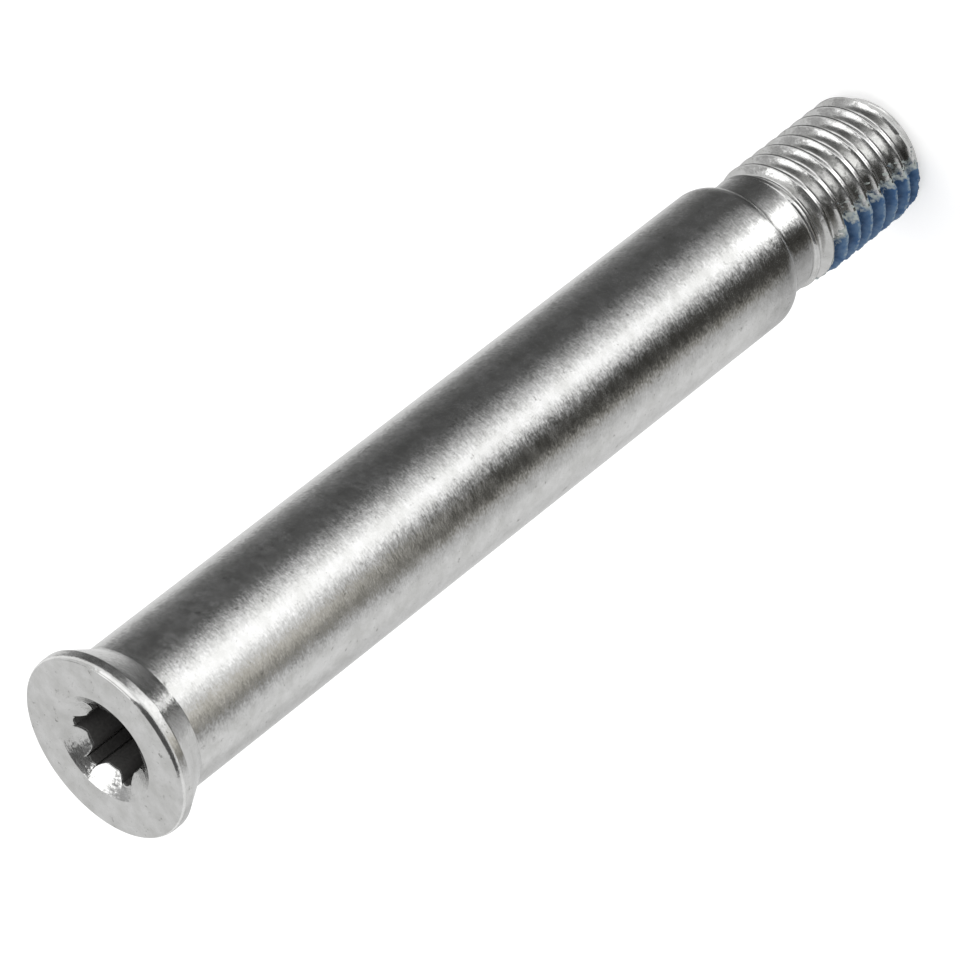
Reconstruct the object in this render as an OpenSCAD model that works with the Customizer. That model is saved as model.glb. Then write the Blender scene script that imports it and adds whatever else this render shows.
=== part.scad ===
// Skate axle: a flared head with a six-lobe drive socket, a plain shaft for the wheel bearings
// and a threaded end with a blue locking coat. It stands on its threaded end, head up,
// with the axis on Z and the origin in the middle of the end face.

/* [Shaft] */
// Overall length, from the end face to the head face
overall_l = 57; // [50:0.5:80]
// Diameter of the bearing seat
shaft_d = 8; // [7.8:0.05:8.5]
// Radius that leads the bearings on at the threaded end
lead_r = 1.5; // [0.8:0.1:2.5]

/* [Head] */
// Diameter of the head
head_d = 9.86; // [9.2:0.02:11]
// Height of the straight rim of the head, with its rounded edge
rim_h = 0.65; // [0.5:0.05:1.5]
// Rounding of the edge of the head face
rim_edge_r = 0.35; // [0.1:0.05:0.4]
// Rounding of the back edge of the rim, where the flare begins
rim_back_r = 0.15; // [0.1:0.05:0.6]
// Height of the hollow flare from the rim down to the shaft
flare_h = 1.65; // [1:0.05:3]
// Depth of the flare's hollow below a straight cone
flare_sag = 0.06; // [0.02:0.01:0.15]

/* [Drive socket] */
// Size across the tips of the lobes
lobe_tip_d = 4.5; // [4:0.05:5]
// Size across the ridges between the lobes
ridge_d = 3.27; // [3:0.01:3.4]
// Rounding of a lobe's tip
lobe_r = 0.38; // [0.3:0.01:0.42]
// Diameter of the drilled hole that the lobes are broached from
pilot_d = 3.45; // [3.3:0.05:3.7]
// Depth of the lobes
lobe_depth = 3.6; // [2.5:0.1:4.5]
// Depth of the drilled hole, to its shoulder
pilot_depth = 4.8; // [4.6:0.1:7]
// Diameter of the countersunk mouth
mouth_d = 5.74; // [5.2:0.02:6.4]
// Included angle of the mouth and of the drill's point
drill_angle = 118; // [90:1:130]
// Angle about the axis of the first ridge
ridge_start_angle = 2.5; // [0:2.5:57.5]

/* [Thread] */
// Outside diameter of the thread
thread_d = 6.94; // [6.8:0.02:7]
// Pitch of the thread
thread_pitch = 1; // [0.75:0.05:1.25]
// Length from the shoulder to the end face
stud_l = 10.55; // [8:0.05:14]
// Diameter of the plain neck under the shoulder
neck_d = 6.6; // [6.5:0.02:6.7]
// Length of the plain neck
neck_l = 1.15; // [0.8:0.05:2]
// Diameter of the flat end face
end_d = 5.74; // [5.2:0.02:5.8]
// Height of the chamfer at the end
end_chamfer_h = 0.95; // [0.6:0.05:1.4]
// Angle about the axis at which the thread starts
thread_start_angle = 20; // [0:5:355]

/* [Locking coat] */
// Angle about the axis at which the coat begins
coat_start_angle = 100; // [60:5:160]
// Angle that the coat covers
coat_cover_angle = 135; // [60:7.5:180]
// Full turns of the thread that the coat leaves bare
coat_bare_turns = 2; // [1:1:4]
// Thickness of the coat on the crests
coat_crest_t = 0.12; // [0.08:0.01:0.2]
// Thickness of the coat in the roots
coat_root_t = 0.26; // [0.15:0.01:0.35]

/* [Hidden] */
$fn = 96;

// Steps in a rounded edge of the turned profile
arc_steps = 8;
shaft_r = shaft_d / 2;
head_r = head_d / 2;
neck_r = neck_d / 2;
thread_r = thread_d / 2;
shoulder_z = stud_l;
neck_z = stud_l - neck_l;
flare_top_z = overall_l - rim_h;
flare_low_z = flare_top_z - flare_h;
// Slope of the flare against the axis, which the rim's back edge turns through
flare_angle = atan2(head_r - shaft_r, flare_h);
flare_top = [head_r - rim_back_r * (1 - cos(flare_angle)), flare_top_z - rim_back_r * sin(flare_angle)];
// The lead-in ends at a narrow flat shoulder around the neck
shoulder_w = 0.15;
shoulder_r = neck_r + shoulder_w;
lead_drop = shaft_r - shoulder_r;
lead_angle = acos(1 - min(lead_drop / lead_r, 1));

// A 60 degree thread: flat crests an eighth of the pitch wide, flat roots a quarter
thread_depth = 0.5413 * thread_pitch;
root_r = thread_r - thread_depth;
// The end face stays this far inside the roots
end_step = 0.02;
end_r = min(end_d / 2, root_r - end_step);
// The blank that the thread is rolled on, a small step inside the neck
blank_step = 0.08;
blank_r = neck_r - blank_step;
// The thread rises to its full depth over this length
runout_l = 1.7 * thread_pitch;
// The threaded part starts this far inside the neck
stud_lap = 0.5;
stud_top_z = neck_z + stud_lap;
// Columns around the thread, and the corners of one pitch as [share of the pitch, radius]
columns = 48;
pitch_corners = [[0, thread_r], [0.125, thread_r], [0.4375, root_r], [0.6875, root_r]];
corners = len(pitch_corners);
last_turn = ceil(stud_top_z / thread_pitch);
rows = (last_turn + 2) * corners + 1;

// The coat keeps to whole columns and rows of the thread, and starts clear of the end face
// by at least this share of the pitch
coat_low_share = 0.2;
coat_column = round((coat_start_angle - thread_start_angle) * columns / 360);
coat_columns = round(coat_cover_angle * columns / 360);
coat_row = (ceil(coat_low_share - coat_column / columns) + 1) * corners;
coat_rows = corners * (floor(neck_z / thread_pitch) - coat_bare_turns);

// Six-lobe geometry: the ridge circles run into the lobe circles with this small bite
ridge_bite = 0.012;
lobe_c = lobe_tip_d / 2 - lobe_r;
ridge_half = ridge_d / 2;
touch_r = lobe_r - ridge_bite;
lobe_across = lobe_c * cos(30);
ridge_num = lobe_c * lobe_c + ridge_half * ridge_half - 2 * lobe_across * ridge_half - touch_r * touch_r;
ridge_r = ridge_num / (2 * (touch_r - ridge_half + lobe_across));
ridge_c = ridge_half + ridge_r;
// The socket's cuts start this far above the head face
cut_over = 1;
mouth_slope = tan(drill_angle / 2);

// Points of an arc about a centre, from one angle to another
function arc(centre, r, from, to) =
    [for (i = [0:arc_steps]) let (a = from + (to - from) * i / arc_steps) centre + r * [cos(a), sin(a)]];

// A hollow curve from p to q with the given sag, to the left of the way from p to q
function hollow(p, q, sag) =
    let (along = q - p, across = [-along[1], along[0]] / norm(along))
    [for (i = [0:arc_steps]) let (s = i / arc_steps) p + along * s + across * (4 * sag * s * (1 - s))];

// The turned outline, radius against height, from the neck up to the head face
function turned_outline() = concat(
    [[0, neck_z], [neck_r, neck_z], [neck_r, shoulder_z]],
    arc([shaft_r - lead_r, shoulder_z + lead_r * sin(lead_angle)], lead_r, -lead_angle, 0),
    hollow([shaft_r, flare_low_z], flare_top, flare_sag),
    arc([head_r - rim_back_r, flare_top_z], rim_back_r, -flare_angle, 0),
    arc([head_r - rim_edge_r, overall_l - rim_edge_r], rim_edge_r, 0, 90),
    [[0, overall_l]]
);

// Height of a corner of the thread in one column, kept between the end face and the neck
function corner_z(column, row) =
    let (turn = floor(row / corners) - 1, share = pitch_corners[row % corners][0])
    min(max(thread_pitch * (turn + share + column / columns), 0), stud_top_z);

// Radius of the thread there: rolled up from the blank at the neck, and chamfered at the end
function corner_r(column, row) =
    let (z = corner_z(column, row), full = pitch_corners[row % corners][1])
    let (rise = min(max((neck_z - z) / runout_l, 0), 1))
    let (chamfer = end_r + (thread_r - end_r) * z / end_chamfer_h)
    min(blank_r + (full - blank_r) * rise, chamfer);

function around(r, column, z) =
    let (a = thread_start_angle + 360 * column / columns)
    [r * cos(a), r * sin(a), z];

// The row that carries on from a row of the last column in the first one, one turn along
function next_row(column, row) = column == columns - 1 ? row + corners : row;

// The rolled thread as one closed skin. Every row of corners follows the helix.
module thread() {
    points = [for (c = [0:columns - 1]) for (m = [0:rows - 1]) around(corner_r(c, m), c, corner_z(c, m))];
    sides = [
        for (c = [0:columns - 1])
        for (m = [0:rows - 2])
        let (d = (c + 1) % columns, n = next_row(c, m))
        if (n + 1 < rows)
        each [
            [c * rows + m, c * rows + m + 1, d * rows + n + 1],
            [c * rows + m, d * rows + n + 1, d * rows + n]
        ]
    ];
    end_face = [for (c = [0:columns - 1]) c * rows];
    top_face = [for (c = [columns - 1:-1:0]) c * rows + rows - 1];
    polyhedron(points, concat(sides, [end_face, top_face]));
}

// Outline of the socket: six round lobes, broached from a drilled hole
module six_lobes() {
    difference() {
        circle(r = lobe_c + lobe_r / 3);
        for (i = [0:5]) {
            rotate(60 * i) translate([ridge_c, 0]) circle(r = ridge_r);
        }
    }
    for (i = [0:5]) {
        rotate(60 * i + 30) translate([lobe_c, 0]) circle(r = lobe_r);
    }
}

module drive_socket() {
    translate([0, 0, overall_l - lobe_depth]) {
        linear_extrude(lobe_depth + cut_over) rotate(ridge_start_angle) six_lobes();
    }
    translate([0, 0, overall_l - pilot_depth]) cylinder(h = pilot_depth + cut_over, d = pilot_d);
    // Point of the drill
    point_h = pilot_d / 2 / mouth_slope;
    translate([0, 0, overall_l - pilot_depth - point_h]) cylinder(h = point_h, r1 = 0, d2 = pilot_d);
    // Countersunk mouth
    mouth_h = mouth_d / 2 / mouth_slope;
    mouth_top_r = mouth_d / 2 + cut_over * mouth_slope;
    translate([0, 0, overall_l - mouth_h]) cylinder(h = mouth_h + cut_over, r1 = 0, r2 = mouth_top_r);
}

module axle() {
    color("silver") {
        difference() {
            rotate_extrude() polygon(turned_outline());
            drive_socket();
        }
        thread();
    }
}

// The coat as one closed skin: it lies on the thread's own faces and fills its roots a little more
module thread_lock_patch() {
    thickness = [coat_crest_t, coat_crest_t, coat_root_t, coat_root_t];
    across = coat_columns + 1;
    up = coat_rows + 1;
    layer = across * up;
    grid = [for (c = [0:across - 1]) for (m = [0:up - 1]) [coat_column + c, coat_row + m]];
    inner = [for (g = grid) around(corner_r(g[0], g[1]), g[0], corner_z(g[0], g[1]))];
    outer = [
        for (g = grid)
        around(corner_r(g[0], g[1]) + thickness[g[1] % corners], g[0], corner_z(g[0], g[1]))
    ];
    // Each cell of the grid gives two triangles outside and the same two, turned over, inside
    cells = [
        for (c = [0:across - 2])
        for (m = [0:up - 2])
        let (a = c * up + m, b = a + up)
        each [[a, a + 1, b + 1], [a, b + 1, b]]
    ];
    outside = [for (t = cells) [t[0] + layer, t[1] + layer, t[2] + layer]];
    inside = [for (t = cells) [t[2], t[1], t[0]]];
    // The four edges of the grid, in order around it, close the coat's rim
    edge = concat(
        [for (m = [0:up - 2]) m],
        [for (c = [0:across - 2]) c * up + up - 1],
        [for (m = [up - 1:-1:1]) (across - 1) * up + m],
        [for (c = [across - 1:-1:1]) c * up]
    );
    rim = [
        for (i = [0:len(edge) - 1])
        let (a = edge[i], b = edge[(i + 1) % len(edge)])
        each [[a, b, b + layer], [a, b + layer, a + layer]]
    ];
    color("steelblue") polyhedron(concat(inner, outer), concat(outside, inside, rim));
}

axle();
thread_lock_patch();
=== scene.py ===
"""A steel skate axle on a white studio floor.

The axle stands on its threaded end, head up, with its axis on Z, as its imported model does.
One mesh makes the turned and rolled steel, and a second one the blue locking coat on its thread.
Sizes are in metres, written as millimetres times MM.
"""

import math

import bmesh
import bpy
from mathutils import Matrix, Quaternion, Vector, noise


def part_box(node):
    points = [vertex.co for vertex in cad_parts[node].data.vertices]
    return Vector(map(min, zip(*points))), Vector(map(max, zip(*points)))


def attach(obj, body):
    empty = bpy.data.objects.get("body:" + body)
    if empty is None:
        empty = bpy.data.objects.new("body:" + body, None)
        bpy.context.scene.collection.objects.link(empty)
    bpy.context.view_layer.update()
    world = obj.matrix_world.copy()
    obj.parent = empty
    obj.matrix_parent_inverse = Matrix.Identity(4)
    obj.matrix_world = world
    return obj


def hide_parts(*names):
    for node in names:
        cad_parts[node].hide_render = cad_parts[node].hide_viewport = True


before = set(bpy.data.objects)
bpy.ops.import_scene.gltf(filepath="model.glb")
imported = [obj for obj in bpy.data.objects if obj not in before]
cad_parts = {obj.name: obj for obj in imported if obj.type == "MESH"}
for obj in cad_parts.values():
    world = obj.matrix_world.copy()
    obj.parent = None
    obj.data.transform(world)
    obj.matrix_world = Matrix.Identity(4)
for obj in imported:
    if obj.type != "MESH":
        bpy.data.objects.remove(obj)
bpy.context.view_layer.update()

MM = 0.001

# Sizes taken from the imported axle
AXLE_LOW, AXLE_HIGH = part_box("axle")
HEAD_Z = AXLE_HIGH.z
HEAD_R = (AXLE_HIGH.x - AXLE_LOW.x) / 2

# Shaft and head
COLUMNS = 288
SHAFT_R = 4.0 * MM
LEAD_R = 1.5 * MM
SHOULDER_Z = 10.55 * MM
SHOULDER_W = 0.15 * MM
RIM_H = 0.65 * MM
RIM_EDGE_W = 0.15 * MM
RIM_EDGE_H = 0.36 * MM
RIM_BACK_R = 0.15 * MM
FLARE_H = 1.65 * MM
FLARE_SAG = 0.005 * MM
SHOULDER_ROUND = 0.04 * MM
FLARE_ROUND = 0.08 * MM
OUTLINE_HOLD = 0.06 * MM
STEEL_SMOOTH_ANGLE = math.radians(35)

# Drive socket
RIDGE_START_ANGLE = math.radians(2.5)
LOBE_TIP_R = 2.25 * MM
LOBE_R = 0.38 * MM
RIDGE_R = 1.635 * MM
PILOT_R = 1.725 * MM
LOBE_DEPTH = 3.6 * MM
PILOT_DEPTH = 4.8 * MM
MOUTH_R = 2.87 * MM
MOUTH_ROUND = 0.06 * MM
MOUTH_STEP = 0.3 * MM
SOCKET_EDGE = 0.05 * MM
DRILL_SLOPE = math.tan(math.radians(59))

# Thread
THREAD_COLUMNS = 144
THREAD_R = 3.47 * MM
PITCH = 1.0 * MM
THREAD_DEPTH = 0.5413 * PITCH
THREAD_ROOT_R = THREAD_R - THREAD_DEPTH
THREAD_TURNS = range(-2, 13)
CREST_FLAT = PITCH / 8
ROOT_FLAT = PITCH / 4
THREAD_START_ANGLE = math.radians(20)
NECK_R = 3.3 * MM
NECK_Z = 9.25 * MM
RUNOUT_L = 1.2 * PITCH
CREST_ROUND = 0.07 * MM
ROOT_ROUND = 0.12 * MM
END_R = 2.87 * MM
END_CHAMFER_H = 0.95 * MM
END_ROUND = 0.06 * MM
STUD_LAP = 0.5 * MM
WELD = 0.002 * MM
CUT_NEAR = 0.0005 * MM

# The steel's finish. A scale counts the pattern's waves in a millimetre, and a lean is how far
# the short turning marks and the grain turn the steel's normal around the axis.
MARKS_SCALE = 1.1
MARKS_STRETCH = 4.0
HATCH_SCALE = 3.2
HATCH_LEAN = 0.24
GRAIN_SCALE = 7
GRAIN_LEAN = 0.2
MOTTLE_SCALE = 1.1
PITS_SCALE = 1.9
PITS_RANGE = (0.645, 0.73)
PITS_SHARE = 0.75
SPECKS_SCALE = 5.5
SPECKS_RANGE = (0.66, 0.74)
SPECKS_SHARE = 0.5
STEEL_ROUGHNESS = (0.13, 0.26)
STEEL_BUMP_H = 0.012 * MM
STEEL_DARK = (0.51, 0.51, 0.5)
STEEL_LIGHT = (0.62, 0.62, 0.615)
PIT_GREY = (0.2, 0.2, 0.19)
SPECK_GREY = (0.26, 0.26, 0.25)
# Painted shade, near-black with a little grain, deep in the drive socket
SOCKET_SHADE_DARK = (0.04, 0.039, 0.038)
SOCKET_SHADE_LIGHT = (0.1, 0.098, 0.095)

# Locking coat
COAT_COLUMNS = 288
COAT_START_ANGLE = math.radians(100)
COAT_COVER_ANGLE = math.radians(135)
COAT_LOW_Z = 0.15 * MM
COAT_CLEAR_Z = 0.1 * MM
COAT_TOP_RAG = 0.2 * MM
COAT_HIGH_Z = 7.5 * MM
COAT_SLANT_H = 1.0 * MM
COAT_SLANT_W = 1.6 * MM
COAT_CREST_T = 0.12 * MM
COAT_ROOT_T = 0.26 * MM
COAT_BED = 0.015 * MM
COAT_RAG_L = 0.5 * MM
COAT_RAG_W = 0.35 * MM
COAT_SCRAP_L = 0.24 * MM
COAT_SCRAP_W = 0.3 * MM
COAT_SCRAP_LEVEL = 0.36
COAT_BORDER_W = 0.7 * MM
COAT_FADE_W = 0.4 * MM
COAT_PALE_W = 0.62 * MM
COAT_LUMP_L = 0.5 * MM
COAT_GRAIN_L = 0.16 * MM
COAT_LUMP_SHARE = 0.35
COAT_EDGE_SHARE = 0.15
COAT_SMOOTH_ANGLE = math.radians(50)

# The coat's finish
COAT_PATCH_SCALE = 1.6
COAT_FINE_SCALE = 5
COAT_ROUGHNESS = (0.45, 0.7)
COAT_BUMP_H = 0.03 * MM
# The dark blue is painted shade in the thread's roots, and the blue of random darker patches
COAT_DARK_BLUE = (0.017, 0.05, 0.115)
COAT_BLUE = (0.042, 0.118, 0.265)
COAT_WORN_BLUE = (0.12, 0.2, 0.31)
COAT_RUBBED_GREY = (0.29, 0.36, 0.41)
COAT_SCRAPED_GREY = (0.48, 0.52, 0.5)

# The photo's camera
CAMERA_PLACE = Vector((0, -248.327, 198.988)) * MM
CAMERA_AIM = Vector((-0.943, 0, 31.488)) * MM
CAMERA_ROLL = math.radians(-128.106)
CAMERA_LENS = 234.225
SENSOR_W = 36
FLOOR_SIZE = 6.0
FLOOR_WHITE = 0.85
FLOOR_GLOW = 0.4
SURROUND_GLOW = 0.88

# A ring of card on the floor, which the shaft reflects. Each stop is the turn from the camera
# in degrees, positive towards -X, and the brightness there.
RING_INNER_R = 4.2 * MM
RING_OUTER_R = 160 * MM
RING_Z = 0.2 * MM
RING_PEAK = 4.0
RING_LOW_STOPS = (
    (-170, 0.8), (-138, 0.7), (-122, 0.36), (-100, 0.18), (-80, 0.11), (-52, 0.14), (-40, 0.3),
    (-28, 0.6), (-18, 1.2), (-8, 3.0), (4, 3.1), (13, 1.3), (21, 0.25), (30, 0.06), (48, 0.06), (56, 0.12),
    (66, 0.3), (78, 0.5), (95, 0.6), (115, 0.62), (140, 0.6),
)
RING_NEAR_STOPS = (
    (-170, 0.95), (-138, 0.85), (-122, 0.36), (-100, 0.18), (-80, 0.11), (-52, 0.14), (-40, 0.36),
    (-22, 0.95), (-8, 1.7), (2, 1.65), (12, 1.0), (22, 0.27), (31, 0.06), (46, 0.06), (54, 0.14),
    (62, 0.4), (72, 0.7), (90, 0.86), (110, 0.96), (132, 0.8), (155, 0.78),
)
RING_FAR_STOPS = (
    (-170, 0.95), (-138, 0.85), (-122, 0.36), (-100, 0.18), (-80, 0.11), (-52, 0.16), (-40, 0.44),
    (-22, 1.25), (-8, 1.85), (8, 1.8), (16, 1.3), (24, 0.98), (34, 0.86), (42, 0.72),
    (50, 0.42), (58, 0.31), (66, 0.48), (76, 0.84), (90, 0.98), (110, 0.98), (132, 0.72), (155, 0.7),
)
RING_LOW_END = 19 * MM
RING_NEAR_START = 21 * MM
RING_NEAR_END = 60 * MM
RING_FAR_START = 73 * MM
RING_FOOT_START = 6.5 * MM
RING_FOOT_END = 8.5 * MM
RING_FOOT_SHARE = 0.7
RING_WARM_TURNS = (26, 66)
RING_WARM_TINT = (1, 0.965, 0.88)

# The lamp and the cards stand around the axle: azimuth and elevation in degrees, distance,
# width and height, and for a card its brightness
SOFTBOX = (5, 69, 0.5, 0.16, 0.21)
SOFTBOX_POWER = 0.21
CARDS = {
    "strip_light": (313, 18, 0.5, 0.5, 0.32, 1.7),
    "camera_flag": (243, 22, 0.3, 0.52, 0.46, 0.12),
    "top_flag": (245, 72, 0.62, 0.42, 0.5, 0.12),
    "grey_card": (38, 45, 0.6, 0.22, 0.2, 0.45),
}


def only(piece):
    """Makes one piece the selected and active one."""
    bpy.ops.object.select_all(action="DESELECT")
    piece.select_set(True)
    bpy.context.view_layer.objects.active = piece


def apply_modifier(piece, kind, **settings):
    """Adds a modifier to a piece and applies it."""
    only(piece)
    modifier = piece.modifiers.new(kind.lower(), kind)
    for key, value in settings.items():
        setattr(modifier, key, value)
    bpy.ops.object.modifier_apply(modifier=modifier.name)


def arc(centre, radius, start, end, steps):
    """Points of an arc about a centre (radius, height), from one angle in degrees to another."""
    points = []
    for i in range(steps + 1):
        a = math.radians(start + (end - start) * i / steps)
        points.append((centre[0] + radius * math.cos(a), centre[1] + radius * math.sin(a)))
    return points


def rounded(corners, hold):
    """Rounds the corners of an open outline. A corner is (radius, height, rounding, steps).

    Each long straight run also gets a point near its ends, which keeps its shading flat.
    """
    points = [corners[0][:2]]
    for before, here, after in zip(corners, corners[1:], corners[2:]):
        corner = Vector(here[:2])
        to_before = Vector(before[:2]) - corner
        to_after = Vector(after[:2]) - corner
        rounding, steps = here[2:]
        if not rounding:
            points.append(here[:2])
            continue
        angle = to_before.angle(to_after)
        reach = rounding / math.tan(angle / 2)
        centre_way = (to_before.normalized() + to_after.normalized()).normalized()
        centre = corner + centre_way * (rounding / math.sin(angle / 2))
        first = corner + to_before.normalized() * reach - centre
        last = corner + to_after.normalized() * reach - centre
        if to_before.length > reach + 2 * hold:
            points.append(tuple(corner + to_before.normalized() * (reach + hold)))
        start = math.degrees(math.atan2(first.y, first.x))
        sweep = (math.degrees(math.atan2(last.y, last.x)) - start + 180) % 360 - 180
        points.extend(arc(centre, rounding, start, start + sweep, steps))
        if to_after.length > reach + 2 * hold:
            points.append(tuple(corner + to_after.normalized() * (reach + hold)))
    points.append(corners[-1][:2])
    return points


def hollow(start, end, sag, steps):
    """Points of a shallow hollow between two points of an outline, without its ends."""
    a = Vector(start)
    b = Vector(end)
    along = b - a
    across = Vector((-along.y, along.x)).normalized()
    shares = [i / steps for i in range(1, steps)]
    return [tuple(a + along * s + across * (4 * sag * s * (1 - s))) for s in shares]


def shape_ring(place):
    """Moves each selected vertex to place(angle), given as (radius, height)."""
    mesh = bmesh.from_edit_mesh(bpy.context.object.data)
    for vertex in mesh.verts:
        if vertex.select:
            angle = math.atan2(vertex.co.y, vertex.co.x)
            radius, height = place(angle)
            vertex.co = (radius * math.cos(angle), radius * math.sin(angle), height)
    bmesh.update_edit_mesh(bpy.context.object.data)


def next_ring(place):
    """Extrudes the selected ring and moves the new one to place(angle)."""
    bpy.ops.mesh.extrude_region_move(TRANSFORM_OT_translate={"value": (0, 0, 0)})
    shape_ring(place)


def close_skin():
    """Fills the open rings of the piece in edit mode and turns its faces outwards."""
    bpy.ops.mesh.select_all(action="SELECT")
    bpy.ops.mesh.fill_holes(sides=0)
    bpy.ops.mesh.select_all(action="SELECT")
    bpy.ops.mesh.normals_make_consistent(inside=False)


def turned_outline():
    """Radius and height of the turned skin, from the shoulder over the rim to the socket's mouth."""
    lead_angle = math.degrees(math.acos(1 - (SHAFT_R - NECK_R - SHOULDER_W) / LEAD_R))
    lead_z = SHOULDER_Z + LEAD_R * math.sin(math.radians(lead_angle))
    lead = arc((SHAFT_R - LEAD_R, lead_z), LEAD_R, -lead_angle, 0, 10)
    flare_top_z = HEAD_Z - RIM_H
    flare_low = (SHAFT_R, flare_top_z - FLARE_H)
    flare_angle = math.degrees(math.atan2(HEAD_R - SHAFT_R, FLARE_H))
    rim_back = arc((HEAD_R - RIM_BACK_R, flare_top_z), RIM_BACK_R, -flare_angle, 0, 6)
    edge_r, edge_z = HEAD_R - RIM_EDGE_W, HEAD_Z - RIM_EDGE_H
    quarter = arc((0, 0), 1, 0, 90, 10)
    rim_edge = [(edge_r + RIM_EDGE_W * out, edge_z + RIM_EDGE_H * up) for out, up in quarter]
    inside_stud_r = NECK_R * 0.8
    shoulder = rounded(
        [
            (inside_stud_r, SHOULDER_Z, 0, 0),
            (NECK_R + SHOULDER_W, SHOULDER_Z, SHOULDER_ROUND, 3),
            (*lead[1], 0, 0),
        ],
        OUTLINE_HOLD,
    )
    flare = hollow(flare_low, rim_back[0], FLARE_SAG, 8)
    shaft = rounded(
        [
            (SHAFT_R, lead_z + OUTLINE_HOLD, 0, 0),
            (*flare_low, FLARE_ROUND, 3),
            (*flare[0], 0, 0),
        ],
        OUTLINE_HOLD,
    )
    mouth = rounded(
        [
            (edge_r - OUTLINE_HOLD, HEAD_Z, 0, 0),
            (MOUTH_R, HEAD_Z, MOUTH_ROUND, 3),
            (MOUTH_R - MOUTH_STEP, HEAD_Z - MOUTH_STEP / DRILL_SLOPE, 0, 0),
        ],
        OUTLINE_HOLD,
    )
    return shoulder + lead[2:] + shaft + flare[1:] + rim_back + rim_edge + mouth


def socket_radius(angle):
    """Radius of the six-lobe outline at an angle about the axis."""
    sixth = math.radians(60)
    from_ridge = (angle - RIDGE_START_ANGLE) % sixth
    from_lobe = abs(from_ridge - sixth / 2)
    lobe_c = LOBE_TIP_R - LOBE_R
    across = lobe_c * math.cos(sixth / 2)
    ridge_top = lobe_c ** 2 + RIDGE_R ** 2 - 2 * across * RIDGE_R - LOBE_R ** 2
    ridge_round = ridge_top / (2 * (LOBE_R - RIDGE_R + across))
    ridge_c = RIDGE_R + ridge_round
    from_ridge_middle = sixth / 2 - from_lobe
    inside = ridge_round ** 2 - (ridge_c * math.sin(from_ridge_middle)) ** 2
    radius = PILOT_R
    if inside > 0:
        radius = max(radius, ridge_c * math.cos(from_ridge_middle) - math.sqrt(inside))
    reach = LOBE_R ** 2 - (lobe_c * math.sin(from_lobe)) ** 2
    if reach > 0:
        radius = max(radius, lobe_c * math.cos(from_lobe) + math.sqrt(reach))
    return radius


def turned_body():
    """The steel from the shoulder up: shaft, flared head and drive socket, ring by ring."""
    outline = turned_outline()
    bpy.ops.object.select_all(action="DESELECT")
    # The columns lie between those of the stud, which keeps the seam of the two free of slivers
    half_column = math.pi / COLUMNS
    bpy.ops.mesh.primitive_circle_add(vertices=COLUMNS, radius=outline[0][0], rotation=(0, 0, half_column))
    piece = bpy.context.object
    bpy.ops.object.transform_apply(location=False, rotation=True, scale=False)
    bpy.ops.object.mode_set(mode="EDIT")
    bpy.ops.mesh.select_all(action="SELECT")
    shape_ring(lambda angle: outline[0])
    for ring in outline[1:]:
        next_ring(lambda angle: ring)

    # The lobes break through the countersunk mouth with a small rounded edge
    def on_cone(radius):
        return HEAD_Z - (MOUTH_R - radius) / DRILL_SLOPE

    edge = SOCKET_EDGE
    for out, down in ((edge, 0), (edge * 0.35, edge * 0.15), (0, edge * 0.6)):
        next_ring(lambda angle: (socket_radius(angle) + out, on_cone(socket_radius(angle) + out) - down))
    lobe_floor = HEAD_Z - LOBE_DEPTH
    pilot_floor = HEAD_Z - PILOT_DEPTH
    next_ring(lambda angle: (socket_radius(angle), lobe_floor + edge))
    next_ring(lambda angle: (socket_radius(angle), lobe_floor))
    step = edge * 0.2
    next_ring(lambda angle: (PILOT_R - step, lobe_floor - step))
    next_ring(lambda angle: (PILOT_R - step, pilot_floor))
    point_h = PILOT_R / DRILL_SLOPE
    for share in (0.5, 0.98):
        next_ring(lambda angle: (PILOT_R * (1 - share), pilot_floor - point_h * share))
    bpy.ops.mesh.merge(type="COLLAPSE")
    close_skin()
    bpy.ops.object.mode_set(mode="OBJECT")
    return piece


def thread_profile():
    """Radius and height of the thread's teeth, one crest after another, for the column at +X."""
    start_z = CREST_FLAT / 2 - THREAD_START_ANGLE / math.tau * PITCH
    flank_middle_r = (THREAD_R + THREAD_ROOT_R) / 2
    to_root = (PITCH - ROOT_FLAT) / 2
    to_flank_middle = (CREST_FLAT / 2 + to_root) / 2
    corners = []
    for turn in THREAD_TURNS:
        crest_z = turn * PITCH + start_z
        corners.append((flank_middle_r, crest_z - to_flank_middle, 0, 0))
        corners.append((THREAD_R, crest_z - CREST_FLAT / 2, CREST_ROUND, 4))
        corners.append((THREAD_R, crest_z + CREST_FLAT / 2, CREST_ROUND, 4))
        corners.append((flank_middle_r, crest_z + to_flank_middle, 0, 0))
        corners.append((THREAD_ROOT_R, crest_z + to_root, ROOT_ROUND, 3))
        corners.append((THREAD_ROOT_R, crest_z + to_root + ROOT_FLAT, ROOT_ROUND, 3))
    return rounded(corners, OUTLINE_HOLD)


def draw_line(points):
    """Draws a line of edges through points, vertex by vertex."""
    bpy.ops.object.select_all(action="DESELECT")
    bpy.ops.mesh.primitive_plane_add(size=MM, location=(0, 0, 0))
    piece = bpy.context.object
    bpy.ops.object.mode_set(mode="EDIT")
    bpy.ops.mesh.select_all(action="SELECT")
    bpy.ops.mesh.merge(type="CENTER")
    bpy.ops.transform.translate(value=points[0])
    for a, b in zip(points, points[1:]):
        step = Vector(b) - Vector(a)
        bpy.ops.mesh.extrude_vertices_move(TRANSFORM_OT_translate={"value": step})
    bpy.ops.object.mode_set(mode="OBJECT")
    return piece


def smooth_step(share):
    """Eases from 0 to 1 as share goes from 0 to 1."""
    share = min(max(share, 0), 1)
    return share * share * (3 - 2 * share)


def end_chamfer_r(height):
    """Radius of the chamfer at the threaded end."""
    return END_R + (THREAD_R - END_R) * max(height, 0) / END_CHAMFER_H


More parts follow.
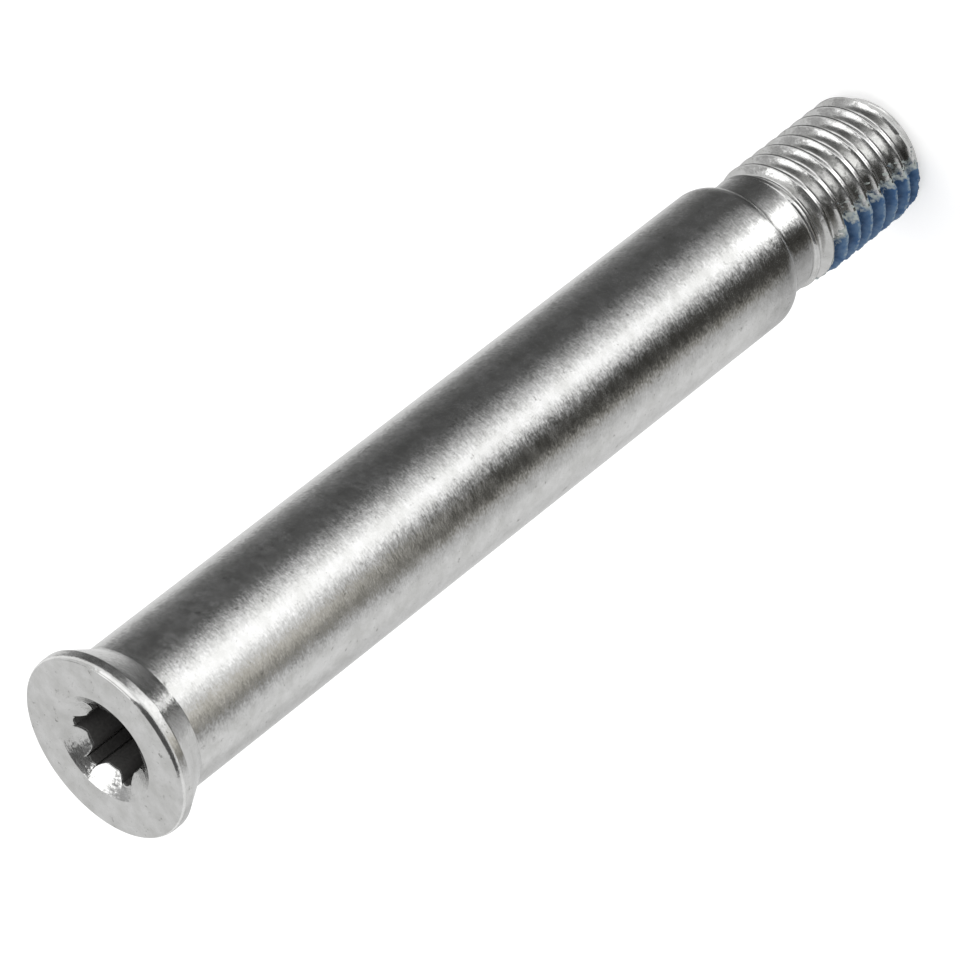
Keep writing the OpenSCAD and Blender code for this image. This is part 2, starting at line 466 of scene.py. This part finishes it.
def roll_ends(piece):
    """Runs the thread out into the neck and chamfers its end, by moving vertices along their radius."""
    for vertex in piece.data.vertices:
        x, y, z = vertex.co
        radius = math.hypot(x, y)
        rise = smooth_step((NECK_Z - z) / RUNOUT_L)
        rolled = NECK_R + (radius - NECK_R) * rise
        scale = min(rolled, end_chamfer_r(z)) / radius
        vertex.co = (x * scale, y * scale, z)


def thread_skin(columns):
    """The rolled thread as an open skin that runs past the end face and up into the neck."""
    piece = draw_line([(r, 0, z) for r, z in thread_profile()])
    apply_modifier(piece, "SCREW", screw_offset=PITCH, steps=columns, render_steps=columns)
    bpy.ops.object.mode_set(mode="EDIT")
    bpy.ops.mesh.select_all(action="SELECT")
    bpy.ops.mesh.remove_doubles(threshold=WELD)
    bpy.ops.object.mode_set(mode="OBJECT")
    roll_ends(piece)
    return piece


def cut_level(height, keep_above):
    """Cuts the thread in edit mode at a height and leaves the new loop selected, one point per column."""
    bpy.ops.mesh.select_all(action="SELECT")
    bpy.ops.mesh.bisect(
        plane_co=(0, 0, height),
        plane_no=(0, 0, 1),
        clear_inner=keep_above,
        clear_outer=not keep_above,
        threshold=CUT_NEAR,
    )
    mesh = bmesh.from_edit_mesh(bpy.context.object.data)
    loop = [vertex for vertex in mesh.verts if vertex.select]
    on_column = {}
    for vertex in loop:
        turn = math.atan2(vertex.co.y, vertex.co.x) / math.tau * THREAD_COLUMNS
        column = round(turn) % THREAD_COLUMNS
        off = abs(turn - round(turn))
        if column not in on_column or off < on_column[column][0]:
            on_column[column] = (off, vertex)
    kept = {vertex for off, vertex in on_column.values()}
    bmesh.ops.dissolve_verts(mesh, verts=[vertex for vertex in loop if vertex not in kept])
    bmesh.update_edit_mesh(bpy.context.object.data)


def threaded_stud():
    """The thread, cut off at the neck and closed by the flat end face."""
    piece = thread_skin(THREAD_COLUMNS)
    bpy.ops.object.mode_set(mode="EDIT")
    cut_level((NECK_Z + SHOULDER_Z) / 2, keep_above=False)
    next_ring(lambda _: (NECK_R, SHOULDER_Z + STUD_LAP))
    cut_level(END_ROUND, keep_above=True)
    for share in (1 / 3, 2 / 3, 1):
        angle = share * math.pi / 2
        inward = END_ROUND * (1 - math.cos(angle))
        drop = END_ROUND * math.sin(angle)
        next_ring(lambda _: (end_chamfer_r(END_ROUND) - inward, END_ROUND - drop))
    close_skin()
    bpy.ops.object.mode_set(mode="OBJECT")
    return piece


def axle_steel():
    """The whole steel axle as one closed mesh."""
    stud = threaded_stud()
    piece = turned_body()
    piece.name = "axle_steel"
    apply_modifier(piece, "BOOLEAN", operation="UNION", solver="MANIFOLD", object=stud)
    bpy.data.objects.remove(stud)
    piece.data.materials.clear()
    only(piece)
    bpy.ops.object.shade_smooth_by_angle(angle=STEEL_SMOOTH_ANGLE)
    return piece


def coat_edge_reach(place):
    """How far a point on the thread lies inside the coat's ragged edge, in metres."""
    angle = math.atan2(place.y, place.x) % math.tau
    radius = math.hypot(place.x, place.y)
    along_start = (angle - COAT_START_ANGLE) * radius
    along_end = (COAT_START_ANGLE + COAT_COVER_ANGLE - angle) * radius
    slant = COAT_SLANT_H * smooth_step(1 - along_end / COAT_SLANT_W)
    foot = place.z - COAT_LOW_Z
    top = COAT_HIGH_Z - slant - place.z
    inside = min(along_start, along_end, foot, top)
    ragged = noise.noise(place / COAT_RAG_L) + 0.6 * noise.noise(place / (0.35 * COAT_RAG_L))
    reach = inside + COAT_RAG_W * ragged
    # Small scraps lie beyond the edge along the thread
    if reach < 0 and inside > -COAT_BORDER_W and min(foot, top) > 0:
        reach = max(reach, COAT_SCRAP_W * (noise.noise(place / COAT_SCRAP_L) - COAT_SCRAP_LEVEL))
    return min(reach, place.z - COAT_CLEAR_Z, top + COAT_TOP_RAG)


def locking_coat():
    """The blue coat: a film on the thread's own skin, thin and ragged at its edges."""
    piece = thread_skin(COAT_COLUMNS)
    piece.name = "locking_coat"
    bpy.ops.object.mode_set(mode="EDIT")
    mesh = bmesh.from_edit_mesh(piece.data)
    bare = [face for face in mesh.faces if coat_edge_reach(face.calc_center_median()) < 0]
    bmesh.ops.delete(mesh, geom=bare, context="FACES")
    pinched = True
    while pinched:
        corners = [v for v in mesh.verts if sum(edge.is_boundary for edge in v.link_edges) > 2]
        pinched = {face for vertex in corners for face in vertex.link_faces}
        bmesh.ops.delete(mesh, geom=list(pinched), context="FACES")
    edge_layer = mesh.verts.layers.float.new("edge_share")
    crest_layer = mesh.verts.layers.float.new("crest_share")
    for vertex in mesh.verts:
        radius = math.hypot(vertex.co.x, vertex.co.y)
        vertex[edge_layer] = smooth_step(coat_edge_reach(vertex.co) / COAT_PALE_W)
        vertex[crest_layer] = min(max((radius - THREAD_ROOT_R) / THREAD_DEPTH, 0), 1)
        scale = (radius - COAT_BED) / radius
        vertex.co = (vertex.co.x * scale, vertex.co.y * scale, vertex.co.z)
    bmesh.update_edit_mesh(piece.data)
    bpy.ops.mesh.select_all(action="SELECT")
    bpy.ops.mesh.extrude_region_move(TRANSFORM_OT_translate={"value": (0, 0, 0)})
    mesh = bmesh.from_edit_mesh(piece.data)
    crest_layer = mesh.verts.layers.float["crest_share"]
    for vertex in mesh.verts:
        if not vertex.select:
            continue
        place = vertex.co.copy()
        radius = math.hypot(place.x, place.y)
        full = COAT_ROOT_T + (COAT_CREST_T - COAT_ROOT_T) * vertex[crest_layer]
        uneven = noise.noise(place / COAT_LUMP_L) + noise.noise(place / COAT_GRAIN_L)
        lumps = 1 + COAT_LUMP_SHARE * uneven
        reach = smooth_step(coat_edge_reach(place) / COAT_FADE_W)
        fade = COAT_EDGE_SHARE + (1 - COAT_EDGE_SHARE) * reach
        scale = (radius + COAT_BED + full * lumps * fade) / radius
        vertex.co = (place.x * scale, place.y * scale, place.z)
    bmesh.update_edit_mesh(piece.data)
    bpy.ops.mesh.select_all(action="SELECT")
    bpy.ops.mesh.normals_make_consistent(inside=False)
    bpy.ops.object.mode_set(mode="OBJECT")
    only(piece)
    bpy.ops.object.shade_smooth_by_angle(angle=COAT_SMOOTH_ANGLE)
    return piece


def material(name):
    """A new material: itself, its node tree, its Principled shader and Object coordinates in millimetres."""
    made = bpy.data.materials.new(name)
    made.use_nodes = True
    tree = made.node_tree
    shader = tree.nodes["Principled BSDF"]
    place = tree.nodes.new("ShaderNodeTexCoord")
    in_mm = tree.nodes.new("ShaderNodeVectorMath")
    in_mm.operation = "SCALE"
    in_mm.inputs["Scale"].default_value = 1 / MM
    tree.links.new(place.outputs["Object"], in_mm.inputs[0])
    return made, tree, shader, in_mm.outputs[0]


def math_node(tree, operation, *values):
    """A Math node on sockets or numbers."""
    node = tree.nodes.new("ShaderNodeMath")
    node.operation = operation
    for socket, value in zip(node.inputs, values):
        if isinstance(value, (int, float)):
            socket.default_value = value
        else:
            tree.links.new(value, socket)
    return node.outputs[0]


def noise_node(tree, vector, scale, detail, rough=0.5):
    """A Noise Texture's value at a place."""
    node = tree.nodes.new("ShaderNodeTexNoise")
    node.inputs["Scale"].default_value = scale
    node.inputs["Detail"].default_value = detail
    node.inputs["Roughness"].default_value = rough
    tree.links.new(vector, node.inputs["Vector"])
    return node.outputs["Fac"]


def map_range(tree, value, from_low, from_high, to_low, to_high):
    """A clamped Map Range node."""
    node = tree.nodes.new("ShaderNodeMapRange")
    tree.links.new(value, node.inputs["Value"])
    node.inputs["From Min"].default_value = from_low
    node.inputs["From Max"].default_value = from_high
    node.inputs["To Min"].default_value = to_low
    node.inputs["To Max"].default_value = to_high
    return node.outputs["Result"]


def mix_colour(tree, share, a, b):
    """A Mix node between two colours or colour sockets."""
    node = tree.nodes.new("ShaderNodeMix")
    node.data_type = "RGBA"
    tree.links.new(share, node.inputs["Factor"])
    for socket, value in zip((node.inputs["A"], node.inputs["B"]), (a, b)):
        if isinstance(value, tuple):
            socket.default_value = (*value, 1)
        else:
            tree.links.new(value, socket)
    return node.outputs["Result"]


def attribute_node(tree, name):
    """The value of one of the piece's own attributes."""
    node = tree.nodes.new("ShaderNodeAttribute")
    node.attribute_name = name
    return node.outputs["Fac"]


def bump_node(tree, height, strength, distance):
    """The normal that a Bump node gives."""
    node = tree.nodes.new("ShaderNodeBump")
    node.inputs["Strength"].default_value = strength
    node.inputs["Distance"].default_value = distance
    tree.links.new(height, node.inputs["Height"])
    return node.outputs[0]


def lean_around(tree, normal, lean):
    """A normal that leans around the axis, as short turning marks make it."""
    tangent = tree.nodes.new("ShaderNodeTangent")
    tangent.direction_type = "RADIAL"
    tangent.axis = "Z"
    scaled = tree.nodes.new("ShaderNodeVectorMath")
    scaled.operation = "SCALE"
    tree.links.new(tangent.outputs[0], scaled.inputs[0])
    tree.links.new(lean, scaled.inputs["Scale"])
    leaning = tree.nodes.new("ShaderNodeVectorMath")
    tree.links.new(normal, leaning.inputs[0])
    tree.links.new(scaled.outputs[0], leaning.inputs[1])
    even = tree.nodes.new("ShaderNodeVectorMath")
    even.operation = "NORMALIZE"
    tree.links.new(leaning.outputs[0], even.inputs[0])
    return even.outputs[0]


def turned_steel():
    """Bright steel with fine turning marks around the axis, grain, small dark pits and painted shade that
    darkens the socket.
    """
    made, tree, shader, place = material("turned_steel")
    split = tree.nodes.new("ShaderNodeSeparateXYZ")
    tree.links.new(place, split.inputs[0])
    x, y, z = split.outputs
    squares = math_node(tree, "ADD", math_node(tree, "MULTIPLY", x, x), math_node(tree, "MULTIPLY", y, y))
    out = math_node(tree, "SQRT", squares)
    run = math_node(tree, "ADD", z, out)
    stretched = tree.nodes.new("ShaderNodeCombineXYZ")
    tree.links.new(x, stretched.inputs[0])
    tree.links.new(y, stretched.inputs[1])
    tree.links.new(math_node(tree, "MULTIPLY", run, MARKS_STRETCH), stretched.inputs[2])
    around = stretched.outputs[0]
    marks = noise_node(tree, around, MARKS_SCALE, 3, 0.6)
    hatch = noise_node(tree, around, HATCH_SCALE, 2, 0.6)
    grain = noise_node(tree, place, GRAIN_SCALE, 3, 0.6)
    mottle = noise_node(tree, place, MOTTLE_SCALE, 4, 0.6)
    pits = map_range(tree, noise_node(tree, place, PITS_SCALE, 4, 0.65), *PITS_RANGE, 0, PITS_SHARE)
    specks = map_range(tree, noise_node(tree, place, SPECKS_SCALE, 2, 0.6), *SPECKS_RANGE, 0, SPECKS_SHARE)

    height = math_node(tree, "ADD", math_node(tree, "MULTIPLY", marks, 0.45),
                       math_node(tree, "MULTIPLY", grain, 0.55))
    normal = bump_node(tree, height, 0.6, STEEL_BUMP_H)
    lean = math_node(tree, "ADD", map_range(tree, hatch, 0, 1, -HATCH_LEAN / 2, HATCH_LEAN / 2),
                     map_range(tree, grain, 0, 1, -GRAIN_LEAN / 2, GRAIN_LEAN / 2))
    tree.links.new(lean_around(tree, normal, lean), shader.inputs["Normal"])
    uneven = math_node(tree, "ADD", marks, mottle)
    tree.links.new(map_range(tree, uneven, 0.7, 1.3, *STEEL_ROUGHNESS), shader.inputs["Roughness"])

    colour = mix_colour(tree, map_range(tree, mottle, 0.35, 0.65, 0, 1), STEEL_DARK, STEEL_LIGHT)
    colour = mix_colour(tree, pits, colour, PIT_GREY)
    colour = mix_colour(tree, specks, colour, SPECK_GREY)
    # Painted shade: a near-black colour, no longer metal, darkens the socket below its countersunk mouth
    cone = math_node(tree, "MULTIPLY_ADD", out, 1 / DRILL_SLOPE, (HEAD_Z - MOUTH_R / DRILL_SLOPE) / MM)
    deep = map_range(tree, math_node(tree, "SUBTRACT", cone, z), 0.06, 0.12, 0, 1)
    within = map_range(tree, out, LOBE_TIP_R / MM + 0.02, LOBE_TIP_R / MM + 0.12, 1, 0)
    socket_shade_colour = mix_colour(tree, grain, SOCKET_SHADE_DARK, SOCKET_SHADE_LIGHT)
    socket_shade_share = math_node(tree, "MULTIPLY", deep, within)
    colour = mix_colour(tree, socket_shade_share, colour, socket_shade_colour)
    tree.links.new(colour, shader.inputs["Base Color"])
    tree.links.new(math_node(tree, "SUBTRACT", 1, socket_shade_share), shader.inputs["Metallic"])
    return made


def locking_blue():
    """Dry blue locking coat: matt, lighter on the crests with painted shade darkening the roots, and scraped
    pale along its edge.
    """
    made, tree, shader, place = material("locking_blue")
    patches = noise_node(tree, place, COAT_PATCH_SCALE, 3)
    fine = noise_node(tree, place, COAT_FINE_SCALE, 3)
    crest = attribute_node(tree, "crest_share")
    edge = attribute_node(tree, "edge_share")

    # Painted shade: the blue darkens from the crests into the roots, mixed with random darker patches
    light = math_node(tree, "ADD", math_node(tree, "MULTIPLY", crest, 0.6),
                      math_node(tree, "MULTIPLY", patches, 0.6))
    blue = mix_colour(tree, map_range(tree, light, 0.2, 0.9, 0, 1), COAT_DARK_BLUE, COAT_BLUE)
    worn = math_node(tree, "MULTIPLY", crest, map_range(tree, patches, 0.38, 0.6, 0, 0.9))
    blue = mix_colour(tree, worn, blue, COAT_WORN_BLUE)
    crest_line = map_range(tree, crest, 0.86, 0.99, 0, 1)
    rubbed = math_node(tree, "MULTIPLY", crest_line, map_range(tree, fine, 0.42, 0.6, 0, 0.8))
    blue = mix_colour(tree, rubbed, blue, COAT_RUBBED_GREY)

    # The scraped border is widest where the fine noise and the crests are high
    outer = math_node(tree, "MULTIPLY", math_node(tree, "SUBTRACT", 1, edge), 0.5)
    scraped = math_node(tree, "ADD", outer, math_node(tree, "MULTIPLY", fine, 0.8))
    scraped = math_node(tree, "ADD", scraped, math_node(tree, "MULTIPLY", crest, 0.1))
    colour = mix_colour(tree, map_range(tree, scraped, 0.68, 0.96, 0, 1), blue, COAT_SCRAPED_GREY)

    tree.links.new(colour, shader.inputs["Base Color"])
    tree.links.new(map_range(tree, fine, 0.3, 0.7, *COAT_ROUGHNESS), shader.inputs["Roughness"])
    tree.links.new(bump_node(tree, fine, 0.6, COAT_BUMP_H), shader.inputs["Normal"])
    shader.inputs["Specular IOR Level"].default_value = 0.25
    return made


def studio_floor():
    """A plain white floor that keeps the axle's soft shadow."""
    bpy.ops.object.select_all(action="DESELECT")
    bpy.ops.mesh.primitive_plane_add(size=FLOOR_SIZE, location=(0, 0, 0))
    floor = bpy.context.object
    floor.name = "studio_floor"
    made = bpy.data.materials.new("floor_white")
    made.use_nodes = True
    shader = made.node_tree.nodes["Principled BSDF"]
    shader.inputs["Base Color"].default_value = (FLOOR_WHITE, FLOOR_WHITE, FLOOR_WHITE, 1)
    shader.inputs["Roughness"].default_value = 0.9
    shader.inputs["Specular IOR Level"].default_value = 0
    # A little glow for the camera and for reflections keeps the shadow faint
    tree = made.node_tree
    ray = tree.nodes.new("ShaderNodeLightPath")
    seen = math_node(tree, "MAXIMUM", ray.outputs["Is Camera Ray"], ray.outputs["Is Glossy Ray"])
    seen = math_node(tree, "MAXIMUM", seen, ray.outputs["Is Transmission Ray"])
    tree.links.new(math_node(tree, "MULTIPLY", seen, FLOOR_GLOW), shader.inputs["Emission Strength"])
    shader.inputs["Emission Color"].default_value = (1, 1, 1, 1)
    floor.data.materials.append(made)


def ring_glow(tree, place, stops):
    """Brightness around the ring. A stop is (turn from the camera in degrees, brightness)."""
    around = tree.nodes.new("ShaderNodeTexGradient")
    around.gradient_type = "RADIAL"
    tree.links.new(place, around.inputs[0])
    ramp = tree.nodes.new("ShaderNodeValToRGB")
    tree.links.new(around.outputs["Fac"], ramp.inputs["Fac"])
    elements = ramp.color_ramp.elements
    while len(elements) > 1:
        elements.remove(elements[0])
    shares = sorted((((90 - turn) % 360) / 360, glow / RING_PEAK) for turn, glow in stops)
    elements[0].position = shares[0][0]
    for share, _ in shares[1:]:
        elements.new(share)
    for element, (share, glow) in zip(elements, shares):
        turn = 90 - share * 360
        warm = RING_WARM_TURNS[0] < turn < RING_WARM_TURNS[1]
        tint = RING_WARM_TINT if warm else (1, 1, 1)
        element.color = (*(glow * part for part in tint), 1)
    return ramp.outputs["Color"]


def reflected_only(card):
    """Hides a card from all but the steel's reflections."""
    card.visible_camera = False
    card.visible_diffuse = False
    card.visible_shadow = False
    card.visible_transmission = False


def reflector_ring():
    """A ring of card around the foot, from white to black, that only the steel's reflections show."""
    bpy.ops.object.select_all(action="DESELECT")
    bpy.ops.mesh.primitive_circle_add(vertices=96, radius=RING_INNER_R, location=(0, 0, RING_Z))
    ring = bpy.context.object
    ring.name = "reflector_ring"
    bpy.ops.object.mode_set(mode="EDIT")
    bpy.ops.mesh.select_all(action="SELECT")
    bpy.ops.mesh.extrude_region_move(TRANSFORM_OT_translate={"value": (0, 0, 0)})
    spread = RING_OUTER_R / RING_INNER_R
    bpy.ops.transform.resize(value=(spread, spread, 1), center_override=(0, 0, RING_Z))
    bpy.ops.object.mode_set(mode="OBJECT")
    made, tree, shader, place = material("reflector_grey")
    tree.nodes.remove(shader)
    low = ring_glow(tree, place, RING_LOW_STOPS)
    near = ring_glow(tree, place, RING_NEAR_STOPS)
    far = ring_glow(tree, place, RING_FAR_STOPS)
    length = tree.nodes.new("ShaderNodeVectorMath")
    length.operation = "LENGTH"
    tree.links.new(place, length.inputs[0])
    out = length.outputs["Value"]
    share = map_range(tree, out, RING_LOW_END / MM, RING_NEAR_START / MM, 0, 1)
    colour = mix_colour(tree, share, low, near)
    share = map_range(tree, out, RING_NEAR_END / MM, RING_FAR_START / MM, 0, 1)
    colour = mix_colour(tree, share, colour, far)
    glow = tree.nodes.new("ShaderNodeEmission")
    tree.links.new(colour, glow.inputs["Color"])
    foot = map_range(tree, out, RING_FOOT_START / MM, RING_FOOT_END / MM,
                     RING_FOOT_SHARE * RING_PEAK, RING_PEAK)
    tree.links.new(foot, glow.inputs["Strength"])
    tree.links.new(glow.outputs[0], tree.nodes["Material Output"].inputs["Surface"])
    ring.data.materials.append(made)
    reflected_only(ring)


def facing_place(azimuth, elevation, distance):
    """The place at that azimuth, elevation and distance, and the turn that faces the axle from there."""
    a = math.radians(azimuth)
    e = math.radians(elevation)
    way = Vector((math.cos(a) * math.cos(e), math.sin(a) * math.cos(e), math.sin(e)))
    return way * distance, way.to_track_quat("Z", "Y").to_euler()


def studio_card(name, azimuth, elevation, distance, width, height, glow):
    """A plain card that faces the axle and shows only in the steel's reflections."""
    place, turn = facing_place(azimuth, elevation, distance)
    bpy.ops.object.select_all(action="DESELECT")
    bpy.ops.mesh.primitive_plane_add(size=1, location=place, rotation=turn)
    card = bpy.context.object
    card.name = name
    card.scale = (width, height, 1)
    made = bpy.data.materials.new(name)
    made.use_nodes = True
    shader = made.node_tree.nodes["Principled BSDF"]
    shader.inputs["Base Color"].default_value = (0, 0, 0, 1)
    shader.inputs["Specular IOR Level"].default_value = 0
    shader.inputs["Emission Color"].default_value = (1, 1, 1, 1)
    shader.inputs["Emission Strength"].default_value = glow
    card.data.materials.append(made)
    reflected_only(card)


def studio_lights():
    """A white surround, one soft lamp above and the cards that the steel reflects."""
    world = bpy.data.worlds.new("studio")
    world.use_nodes = True
    background = world.node_tree.nodes["Background"]
    background.inputs["Color"].default_value = (1, 1, 1, 1)
    background.inputs["Strength"].default_value = SURROUND_GLOW
    bpy.context.scene.world = world
    azimuth, elevation, distance, width, height = SOFTBOX
    place, turn = facing_place(azimuth, elevation, distance)
    bpy.ops.object.light_add(type="AREA", location=place, rotation=turn)
    lamp = bpy.context.object
    lamp.name = "softbox"
    lamp.data.shape = "RECTANGLE"
    lamp.data.size = width
    lamp.data.size_y = height
    lamp.data.energy = SOFTBOX_POWER
    for name, card in CARDS.items():
        studio_card(name, *card)


def photo_camera():
    """The camera of the photo, rolled so that the axle lies across the picture."""
    data = bpy.data.cameras.new("photo_camera")
    data.sensor_width = SENSOR_W
    data.lens = CAMERA_LENS
    data.clip_start = 1 * MM
    camera = bpy.data.objects.new("photo_camera", data)
    bpy.context.scene.collection.objects.link(camera)
    camera.location = CAMERA_PLACE
    level = (CAMERA_AIM - CAMERA_PLACE).to_track_quat("-Z", "Y")
    roll = Quaternion((0, 0, 1), CAMERA_ROLL)
    camera.rotation_euler = (level @ roll).to_euler()
    bpy.context.scene.camera = camera


studio_floor()
studio_lights()
reflector_ring()
photo_camera()

axle = axle_steel()
axle.data.materials.append(turned_steel())
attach(axle, "root")
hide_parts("axle")

coat = locking_coat()
coat.data.materials.append(locking_blue())
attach(coat, "root")
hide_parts("thread_lock_patch")

bpy.context.scene.view_settings.view_transform = "Standard"
